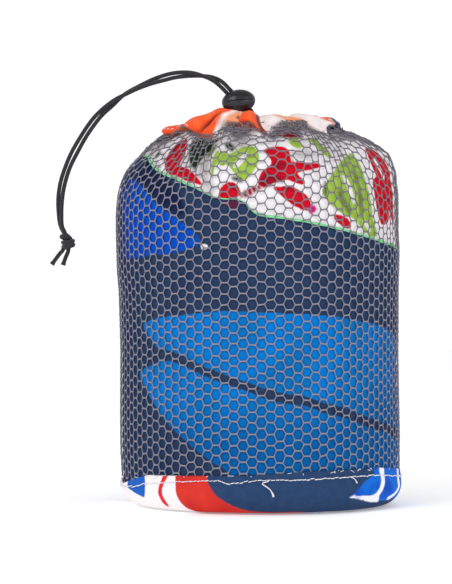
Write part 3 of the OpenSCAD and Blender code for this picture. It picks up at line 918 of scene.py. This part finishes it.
def net_cells(seed, columns, pitch, first_row, rows, low_z, lean, offset):
    """The yarns of one stretch of honeycomb net as rows of [angle, distance, jitter] * 2 + [joint]"""
    g = np.random.default_rng(seed)
    i, k = np.meshgrid(np.arange(columns), np.arange(rows), indexing="ij")
    per = 360.0 / columns
    half = per * 0.34
    x = i * per - 180 + offset
    s = (i % 2) * pitch / 2 + pitch * k + first_row
    slack = 0.35 + 1.1 * ease(s, 150, 205)
    jx, js = g.normal(0, 0.045, (2,) + i.shape) * per * slack
    x = x + jx + lean(x, s)
    s0 = s + js * 5
    tilt = g.normal(0, 0.12, i.shape)
    jr = g.uniform(0, 2.2, i.shape) * (g.random(i.shape) < 0.75)
    low = up_to(low_z(x)) - 1.0
    high = up_to(np.minimum(casing_low(x), 208.3)) + 0.4
    yarns = []

    def add(a, b, joint, lo, hi, keep):
        inside = keep & (np.maximum(a[1], b[1]) > lo) & (np.minimum(a[1], b[1]) < hi)
        ends = [v for x, s, jitter in (a, b) for v in (x, np.clip(s, lo, hi), jitter)]
        yarns.append(np.stack(ends + [np.full(i.shape, joint)], -1)[inside])

    add((x - half, s0 - tilt, jr), (x + half, s0 + tilt, jr), 1.0, low, high, True)
    # each slanting yarn runs from one column to the next: odd columns stand half a pitch higher
    right = [np.roll(q, -1, 0) for q in (x, s0, jr, tilt)]
    right[0] = np.where(i == columns - 1, right[0] + 360, right[0])
    lo2, hi2 = np.minimum(low, np.roll(low, -1, 0)), np.maximum(high, np.roll(high, -1, 0))
    odd = (i % 2) == 1
    for up in (0, 1):
        for d in (-1, 0, 1):
            nx, ns, nj, nt = (np.roll(q, -d, 1) for q in right)
            use = (np.where(odd, up, up - 1) == d) & (k + d >= 0) & (k + d < rows) & (abs(s0 - ns) < pitch)
            add((x + half, s0 + tilt, jr), (nx - half, ns - nt, nj), 0.0, lo2, hi2, use)
    return np.vstack(yarns)


def net_lean(x, s):
    """How far the cells are pulled sideways on the shoulder, in degrees"""
    pulled = 3.4 * np.exp(-((x + 52) / 22) ** 2) - 2.6 * np.exp(-((x - 50) / 20) ** 2)
    pulled = pulled + 1.5 * np.sin(np.radians(x) * 5)
    return pulled * ease(s, 150, 190) * 1.6


def net():
    wall = net_cells(21, 100, 5.86, 8.02, 37, band_top, net_lean, 0.0)
    # two more layers of slack, where the net is gathered into the casing
    folds = net_cells(22, 120, 4.4, 160, 22, gathered_low, lambda x, s: 5 * np.sin(s / 6 + x / 9), 1.7)
    more = net_cells(23, 104, 4.8, 162, 20, lambda x: gathered_low(x) + 2.5,
                     lambda x, s: 4 * np.sin(s / 5 - x / 7), 0.4)
    e = np.vstack([wall, folds, more])
    lift = np.concatenate([np.zeros(len(wall)), np.full(len(folds), 0.5), np.full(len(more), -0.8)])
    long_enough = np.hypot((e[:, 3] - e[:, 0]) * 1.3, e[:, 4] - e[:, 1]) > 0.4
    e, lift = e[long_enough], lift[long_enough]
    joint = e[:, 6] > 0.5
    steps = np.array([0.0, 0.5, 1.0])
    theta, s, jitter = (e[:, None, k] * (1 - steps) + e[:, None, k + 3] * steps for k in range(3))
    pts_along = net_place(theta, s, lift[:, None], jitter)
    direction = pts_along[:, 2] - pts_along[:, 0]
    direction /= np.linalg.norm(direction, axis=1)[:, None]
    side = np.cross(direction, at(theta[:, 1], 1.0, 0.0))
    side /= np.linalg.norm(side, axis=1)[:, None]
    out = np.cross(side, direction)
    # the yarns thicken where they meet, which rounds the corners of every hole
    thin = np.where(lift == 0, 1.0, 0.62)[:, None]
    rad = thin * np.where(joint[:, None], [0.6, 0.5, 0.6], [0.58, 0.29, 0.58])
    ang = (np.arange(YARN_SIDES) + 0.5) / YARN_SIDES * 2 * np.pi
    ring = np.cos(ang)[:, None] * side[:, None, None, :] + 0.6 * np.sin(ang)[:, None] * out[:, None, None, :]
    verts = pts_along[:, :, None] + rad[:, :, None, None] * ring
    first = np.arange(len(e))[:, None, None] * len(steps) * YARN_SIDES
    quads = first + tube_quads(len(steps), YARN_SIDES)
    t = wrap(theta)
    # painted shade: the yarn is painted darker over the white part of the towel and in the gathered layers of
    # net
    over_white = ease(pts_along[..., 2] - table(HEM, np.where(t < -124, t + 360, t)), -1, 2)
    yarn_shade = np.maximum(0.75 * over_white, (lift != 0)[:, None] * 0.7)
    values = {"joint": np.repeat(joint, len(steps) * YARN_SIDES), "yarn_shade": np.repeat(yarn_shade.ravel(), YARN_SIDES)}
    ob = make("mesh_net_wall", verts, quads.reshape(-1, 4), m_yarn, values=values)
    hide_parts("mesh_wall")


net()


# ---- base
BAND_OFF = 0.35


def band_line(theta, off, u):
    """Radius and height of the band's line at a distance u mm below its top edge"""
    top = band_top(theta)
    straight = np.maximum(top - CORNER_R, 0)
    arc = np.clip((u - straight) / (CORNER_R + off), 0, np.pi / 2)
    z = np.where(u < straight, top - u, CORNER_R - (CORNER_R + off) * np.sin(arc))
    flat = np.maximum(u - straight - (CORNER_R + off) * np.pi / 2, 0)
    side = body_r(theta, np.maximum(z, CORNER_R)) - FOOT_R
    r = np.where(u < straight, FOOT_R + off + side, CORNER_MID + side + (CORNER_R + off) * np.cos(arc) - flat)
    return r, z + off + 0.35


BAND_WHITE = pts(-95,30, -36,30, -36,20, -35.5,10, -33,3, -28,-6, -95,-6)
BAND_ORANGE = pts(-36,30, -22,30, -21.8,20, -19.6,12.6, -16,8, -10.6,4.2, -5,2, 6,1, 20,0.6, 24,-6, -30,-6,
    -33,3, -35.5,10, -36,20)
BAND_BLUE_TIP = pts(-71,12.2, -62,24, -55,26, -54,20, -54.4,12, -55.6,7.1, -60,7.6, -66,9.6)
BAND_RED_STRIPE = pts(-40.6,22, -38.6,22, -42,15, -43,10.4, -41.8,3.4, -43.8,3, -45.4,10, -44.4,15)
BAND_RIGHT = pts(38.6,8.2, 42,13, 47,17, 52,20, 54,26, 100,27, 104,4, 84,5, 66,4.6, 58,5, 46,6.8)
BAND_RIGHT_WHITE = [
    pts(54.8,25, 58.2,25, 59.4,16, 57.6,11, 55.4,7.4, 57,4.4, 50,5, 44,6.6, 37.6,8.4, 46,8.6, 51,8.4,
        54.4,11, 56.4,16), pts(74,24, 78,24, 78,14, 74,9, 66,4.6, 63,6, 70,9, 74,14),
    pts(38,8, 36.6,8.6, 39.6,9.4, 42,8.4)]
BAND_BACK_BLUE = pts(118,26, 140,24, 150,8, 128,-2, 112,8)
BAND_BACK_WHITE = pts(196,26, 222,22, 228,4, 206,-2)
BAND_PRINT = {
    "b_orange": [BAND_ORANGE], "b_white": [BAND_WHITE], "b_blue": [BAND_BLUE_TIP],
    "b_right": [BAND_RIGHT, BAND_BACK_BLUE], "b_stripe": BAND_RIGHT_WHITE + [BAND_BACK_WHITE],
    "b_red": [BAND_RED_STRIPE]}


def base_material():
    s = Shade("printed_base_fabric", 0.8, 0.0, 0.12)
    w = wander(s, 0.9, 420)
    s.colour(s.paint_layers(s.mottle(300, rgb(34, 60, 96), rgb(42, 66, 104)), (
        ("b_orange", s.mottle(60, rgb(190, 38, 38), rgb(214, 58, 44)), CRISP, w),
        ("b_white", rgb(240, 233, 234), CRISP, w),
        ("b_blue", rgb(24, 92, 184), CRISP, w),
        ("b_right", s.mottle(90, rgb(6, 74, 184), rgb(8, 104, 206), 0.4, 0.6), CRISP, w),
        ("b_stripe", rgb(238, 236, 240), CRISP, w),
        ("b_red", rgb(214, 40, 50), CRISP, w))))
    weave(s, 3200, 500, 0.25)
    return s.mat


def base_band(mat):
    th = np.arange(0, 360, 1.0) - 180
    u = np.concatenate([np.linspace(0, 20, 16), np.linspace(22, 29.5, 5)])
    tg, ug = np.meshgrid(th, u, indexing="ij")
    r, z = band_line(tg, BAND_OFF, ug)
    pucker = 0.35 * waves(31, tg / 4.0, ug / 9.0, count=5) * np.exp(-((ug - 4) / 4) ** 2)
    sag = 0.5 * waves(32, np.radians(tg) * 3, ug / 12.0, count=5) * ease(ug, 3, 9) * (1 - ease(ug, 17, 24))
    keys = {key: union(shapes, tg, z) for key, shapes in BAND_PRINT.items()}
    ob = make("base_printed_band", at(tg, r + pucker + sag + 0.5, np.maximum(z, 0.5)),
              grid(*tg.shape, wrap_round=True, flip=True), mat, values=keys)
    thicken(ob, PRINTED_CLOTH)
    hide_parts("base_band")
    # the folded-in edge of the band, behind the net
    tg, ug = np.meshgrid(th, np.linspace(-0.2, 5.5, 5), indexing="ij")
    r, z = band_line(tg, BAND_OFF, np.maximum(ug, 0))
    values = {key: value[:, :tg.shape[1]] for key, value in keys.items()}
    allowance = make("base_turned_edge", at(tg, r - 0.75, z + 0.2),
                     grid(*tg.shape, wrap_round=True, flip=True), mat, values=values)
    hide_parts("base_seam_allowance")


def base_panel(mat):
    """The round bottom, of the same cloth, with large soft patches"""
    rad = np.concatenate([np.linspace(0.5, 58, 14), [60, 62, 63]])
    tg, rg = np.meshgrid(np.arange(0, 360, 3.0), rad, indexing="ij")
    v = at(tg, rg, 0.0)
    x, y = v[..., 0], v[..., 1]
    v[..., 2] = np.clip(1.0 + 0.3 * waves(33, -y / 16.0, x / 16.0), 0.6, 1.6)
    values = dict.fromkeys(BAND_PRINT, np.full(x.shape, -FAR))
    values["b_white"] = 7 * waves(34, x / 16, y / 16) - 2
    values["b_blue"] = 7 * waves(35, x / 14, y / 14) - 3
    panel = make("base_round_panel", v, grid(*tg.shape, wrap_round=True), mat,
                 values=values)
    thicken(panel, PRINTED_CLOTH, 0)
    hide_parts("base_panel")


m_base = base_material()
base_band(m_base)
base_panel(m_base)


STITCH_PITCH, NET_ENDS = 1.75, 60
LONG_TAIL = pts(2.8,18, 1.2,17.4, 0.3,16.7, 1.4,15.6, 3,14, 4,12, 4.5,10)
SHORT_TAIL = pts(37.2,19, 38.4,18.4, 39.3,17.3, 39.8,15.8)
STITCH = pts(-180,15, -120,14, -90,10.5, -62.9,11.7, -54.6,14, -35.8,16.4, -22.5,17.5, -17.4,18.2,
    -12.9,16.3, -9.3,16.8, -0.9,18.5, 15.9,18.3, 34.3,19.1, 51.6,19.1, 83.2,15.8, 120,15, 180,15)


def base_stitch(g, theta):
    """One stitch of the band's topstitch"""
    z0, z1 = (table(STITCH, t) for t in (theta, theta + STITCH_PITCH * 0.84))
    r = body_r(theta, 14.0) + 1.35
    drop = g.normal(0, 0.16)
    middle = (z0 + z1) / 2 + drop + g.normal(0, 0.08)
    last = z1 + drop + 0.1
    ends = [(0, -0.55, z0 + drop), (0.12, -0.08, z0 + drop), (0.42, 0.05, middle), (0.74, -0.08, last),
            (0.86, -0.55, last)]
    path = np.array([at(theta + STITCH_PITCH * t, r + out, z) for t, out, z in ends])
    return sweep(path, 0.27 + g.normal(0, 0.03), 6, relief=lambda s, a: 0.1 * np.cos(3 * a + s * 9))


def net_end(g):
    """A cut end of the net that sticks out above the band's seam"""
    th = g.uniform(-180, 180)
    z = band_top(th) + g.uniform(-0.6, 0.4)
    r = body_r(th, 20.0) + 0.55
    tip = (th + g.normal(0, 1.0), r + g.uniform(0.1, 0.8), z + g.uniform(-0.9, 1.0))
    mid = (th + g.normal(0, 0.5), r + g.uniform(0.2, 0.7), z + g.uniform(0.0, 0.8))
    return sweep(spline([at(th, r - 0.3, z), at(*mid), at(*tip)], 0.6), 0.16, 5)


def loose_tail(route, radius):
    """A loose thread tail that swells at its frayed end"""
    path = spline([at(t, body_r(t, 16.0) + 1.7 + 0.35 * i, z) for i, (t, z) in enumerate(route)], 0.5)
    d = along(path)
    return sweep(path, radius * (1 + 1.1 * ease(d / d[-1], 0.72, 1.0)), 8,
                 relief=lambda s, a: 0.14 * np.cos(3 * a + s * 7))


def stitches():
    g = np.random.default_rng(41)
    around = np.arange(-180, 180, STITCH_PITCH)
    ob = threads("base_topstitch_thread", [base_stitch(g, theta) for theta in around], m_thread)
    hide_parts("base_topstitch")
    threads("net_cut_ends", [net_end(g) for _ in range(NET_ENDS)], m_thread)
    tail = threads("loose_thread_tails", [loose_tail(LONG_TAIL, 0.3), loose_tail(SHORT_TAIL, 0.24)], m_thread)
    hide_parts("thread_tails")


stitches()


# ---- side seam
SEAM_AT, SEAM_STITCH = 86.0, 2.6


def seam_stitch(g, s):
    """One zigzag stitch of the side seam, from a distance s up the bag's outline"""
    points = []
    for t, a in ((0, -0.8), (0.25, -0.2), (0.5, 0.7), (0.75, 0.2), (1.0, -0.7)):
        z = height_at(s + t * SEAM_STITCH * 0.95)
        sunk = 0.5 if t in (0, 1.0) else 0
        r = body_r(SEAM_AT, z) + 0.7 + PLEAT_OUT * pleat(SEAM_AT, z) - sunk
        points.append(at(SEAM_AT + a * 0.95 + g.normal(0, 0.05), r, z))
    return sweep(spline(points, 0.8), 0.26, 5)


def side_seam():
    s = np.linspace(up_to(14), up_to(204), 150)
    sg, ag = np.meshgrid(s, np.linspace(-1, 1, 9), indexing="ij")
    z = height_at(sg)
    width = 1.3 + 0.2 * waves(52, sg / 9.0)
    ridge = -0.3 + 0.7 * np.sqrt(1 - 0.9 * ag ** 2) + 0.15 * waves(53, sg / 2.2, ag * 2)
    r = body_r(SEAM_AT, z) + ridge + PLEAT_OUT * pleat(SEAM_AT, z)
    v = at(SEAM_AT + ag * width, r, z)
    ob = make("side_seam_ridge", v, grid(*sg.shape), m_seam_yarn)
    thicken(ob, SEAM_CLOTH, 0)
    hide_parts("side_seam")
    g = np.random.default_rng(51)
    starts = np.arange(s[0] + 1, s[-1] - 3, SEAM_STITCH)
    thread = threads("side_seam_stitches", [seam_stitch(g, u) for u in starts], m_thread)
    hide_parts("side_seam_thread")


side_seam()


# ---- casing
NECK_X = -3.6
CASING_TOP = pts(-180,209, -160,212, -140,208.5, -120,211, -100,205, -90,204.5, -80,205, -70,205.4,
    -65,206.6, -55,207.2, -48.5,208.2, -42,209.4, -32,212, -25.5,213.8, -22,214.5, -18,214.2, -10.4,213.4,
    -7.5,212.4, -0.6,213.4, 1.2,211.6, 2.4,209.4, 3,209.2, 5.5,210.2, 8,211, 16.7,211.2, 23.5,210.6,
    29,211.4, 33,211.6, 50,210.4, 56,211, 58.4,210, 60.4,206, 63,204.6, 75,204.4, 90,205, 108,210, 125,207,
    145,212, 165,208, 180,209)
CASING_OUT = pts(-180,47, -165,51, -148,45, -130,51, -112,45, -95,48, -80,46, -64,54, -56,51.5, -50,46.5,
    -44,53, -35,53.5, -28,50.5, -20,54, -14,53, -10,50, -6,53, -1,52.5, 1.5,49.5, 4,48, 7,49, 10,51, 15,50,
    22,48, 28,53, 36,54, 43,52.5, 50,52, 54,53, 58,52, 62,49, 70,46, 85,50, 102,46, 120,51, 138,46, 158,51,
    180,47)
CASING_IN = pts(-180,33, -150,29, -120,34, -90,30, -60,33, -30,30, 0,33, 30,29, 60,33, 90,30, 120,34,
    150,29, 180,33)


def smoothed(points, theta):
    """The value of a table of the casing at an angle, with its corners rounded"""
    return sum(table(points, wrap(wrap(theta) + d)) for d in (-2.0, 0.0, 2.0)) / 3


def casing_point(theta, t, grow=0.0):
    """A point of the casing: t is 0 to 1 up its outside, 1 to 2 over its top, 2 to 3 down its inside"""
    low_edge = smoothed(CASING_LOW, theta)
    low = low_edge - 2.5
    top = smoothed(CASING_TOP, theta) - 1.2 + grow
    r_out = smoothed(CASING_OUT, theta) + grow
    up, over, down = (np.clip(t - start, 0, 1) for start in range(3))
    belly = np.sin(np.pi * np.clip(t / 3, 0, 1))
    blend = ease(up, 0.0, 0.55)
    r = body_r(theta, np.minimum(low_edge, 206)) - 1.2
    r = r + (r_out - r + np.sin(np.pi * up) * 1.8 - 5.0 * (up - 0.4) * up ** 1.5) * blend
    r = r + (smoothed(CASING_IN, theta) + 3 - r) * over - 2.0 * down + 0.8 * np.sin(np.pi * down)
    z = low + (top - low) * up
    z = z + 1.2 * np.sin(np.pi * over) * (1 + 0.4 * np.sin(np.radians(theta) * 13)) - 2.0 * over
    z = z + (203.6 - z) * down
    crease = np.exp(-((z - table(CREASE, theta)) / 1.1) ** 2)
    crease = crease * ease(theta, -38, -34) * (1 - ease(theta, -20, -16))
    th = np.radians(theta)
    ruffle = waves(61, th * 16, t * 1.6, count=6, low=0.8, high=1.6)
    r = r - 2.2 * crease * (1 - over) + 0.7 * ruffle * (0.35 + 0.65 * belly)
    z = z + 0.5 * waves(62, th * 19, t * 2.0, count=5, low=0.8, high=1.5) * belly
    return np.stack([NECK_X * ease(t, 0, 0.8) + r * np.sin(th), -r * np.cos(th), z], -1)


C_ORANGE = [
    pts(-68,198, -50,202, -47,209, -48,217, -68,217),
    pts(-49,200, -38,195, -26.2,197, -26.2,200.3, -22.8,204.6, -20.3,207.3, -16.8,210.8, -13.4,212.5,
        -13,219, -30,224, -50,219),
    pts(-15.6,203.4, -11.4,206.4, -8.6,208, -7.4,211, -7,219, 0.6,219, 0.9,209, 0.8,197, -2,197, -4,204,
        -11,202),
    pts(33.6,211.8, 37,210.6, 41,209.5, 45,208.8, 48.6,208, 50,206.4, 51.4,206.4, 52,208, 54,209.6,
        57.4,211.4, 60,213.6, 57,219, 45,219, 34,219, 33,215)]
C_PEACH = [
    pts(-19.4,205, -16.2,208.8, -12.7,210.8, -9.7,212, -7.6,211.2, -8,208.4, -10.5,206.8, -13.5,204.6,
        -16.6,203.6),
    pts(12,217, 12.3,210.2, 14,209.2, 17,207.6, 20,205.6, 22.4,206.4, 26,206.2, 28,206, 30,204.6,
        29.8,207.4, 27.4,208.8, 23.5,210.2, 22,217)]
# painted shade: dark red-brown where the casing folds into deep creases and a pit
C_CREASE_SHADE = [
    pts(0.7,197, 0.7,218, 2.4,218, 3.4,208, 4.4,197),
    pts(-34.8,201.4, -33,201.4, -26.8,205.8, -19.4,210.6, -19.8,211.8, -28,207.6),
    pts(-11.2,208, -9.8,209.4, -8,208.8, -9,207.2)]
C_NAVY = [
    pts(51.4,200, 51.4,203.5, 51.4,206.5, 52.6,208.6, 55,210.1, 58,211.8, 60.6,213.8, 64,216, 66,212,
        66,206, 66,200), pts(120,205, 150,204, 145,217, 122,216)]
C_BACK = [
    pts(160,198, 200,198, 195,218, 165,218), pts(-110,198, -85,198, -88,214, -108,215),
    pts(85,198, 108,198, 104,215, 88,217)]
CREASE = pts(-35,201.2, -33.7,202, -27.4,206.6, -20,211, -17,213)


def casing_material():
    s = Shade("printed_casing_fabric_and_shade", 0.8, 0.1, 0.2)
    w = wander(s, 0.9, 300)
    s.colour(s.paint_layers(s.mottle(140, rgb(236, 226, 225), rgb(228, 214, 213), 0.35, 0.65), (
        ("c_peach", rgb(230, 150, 106), 1.0, w),
        ("c_orange", s.mottle(200, rgb(232, 78, 30), rgb(238, 104, 48), 0.4, 0.75), 0.7, w),
        # painted shade in the creases
        ("c_crease_shade", rgb(136, 34, 16), 0.7, None),
        ("c_navy", NAVY, 0.7, w))))
    weave(s, 2800, 450, 0.3)
    return s.mat


def casing_stitch(g, theta):
    """One stitch of the sewn line that holds the net to the casing"""
    rise = 4.6 + 0.2 * g.normal()
    points = []
    for k, out in ((0, -0.5), (0.15, 0.0), (0.5, 0.1), (0.85, 0.0), (1, -0.5)):
        here = theta + k * 2.1
        tall = smoothed(CASING_TOP, here) + 1.3 - smoothed(CASING_LOW, here)
        points.append(casing_point(here, rise / tall, 0.4 + out))
    return sweep(points, 0.24, 6)


def casing():
    th = np.arange(0, 360, 0.5) - 180
    t = np.concatenate([np.linspace(0, 1, 18), np.linspace(1, 2, 8)[1:], np.linspace(2, 3, 6)[1:]])
    tg, ug = np.meshgrid(th, t, indexing="ij")
    v = casing_point(tg, ug)
    # the print is laid out by height, going on past the rim at the same pace
    height = np.where(ug <= 1, v[..., 2], smoothed(CASING_TOP, tg) + (ug - 1) * 9)
    values = {key: union(shapes, tg, height, 0.9) for key, shapes in (
        ("c_orange", C_ORANGE + C_BACK), ("c_peach", C_PEACH), ("c_crease_shade", C_CREASE_SHADE), ("c_navy", C_NAVY))}
    ob = make("neck_casing", v, grid(*tg.shape, wrap_round=True, flip=True), casing_material(),
              values=values)
    thicken(ob, PRINTED_CLOTH)
    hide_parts("neck_channel")
    # the stitches near the front are tucked into a fold
    g = np.random.default_rng(71)
    shown = [theta for theta in np.arange(-180, 180, 2.6) if not -13 < theta < 1]
    top = threads("casing_topstitch_thread", [casing_stitch(g, theta) for theta in shown], m_thread)
    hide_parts("channel_topstitch")
    # the rolled seam under the casing
    ring = [casing_point(theta, 0.02, 0.2) for theta in np.arange(-180, 181, 1.5)]
    rolled = sweep(ring, 0.7, 8, relief=lambda u, k: 0.12 * np.cos(4 * k + u * 4))
    seam = threads("neck_joining_seam", [rolled], m_seam_yarn)
    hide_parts("neck_seam")


casing()


BUTTONHOLE_AT, BUTTONHOLE_HALF, BUTTONHOLE_R = (-4.6, -42, 208.7), 3.0, 2.5


def buttonhole():
    """The sewn rim of the slot that both cord ends leave by"""
    a = np.linspace(0, 2 * np.pi, 73)
    x = np.where(np.cos(a) > 0, BUTTONHOLE_HALF, -BUTTONHOLE_HALF) + BUTTONHOLE_R * np.cos(a)
    ring = BUTTONHOLE_AT + np.stack([x, BUTTONHOLE_R * np.sin(a), 0 * a], -1)
    rim = sweep(ring, 0.6, 8, start=(0, 0, 1), relief=lambda u, k: 0.25 * np.cos(u * 7))
    mat = plain("buttonhole_thread", rgb(226, 98, 60), 0.7, 2000, 0.5, 0.2)
    ob = threads("casing_buttonhole", [rim], mat)
    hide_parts("channel_buttonhole")


buttonhole()
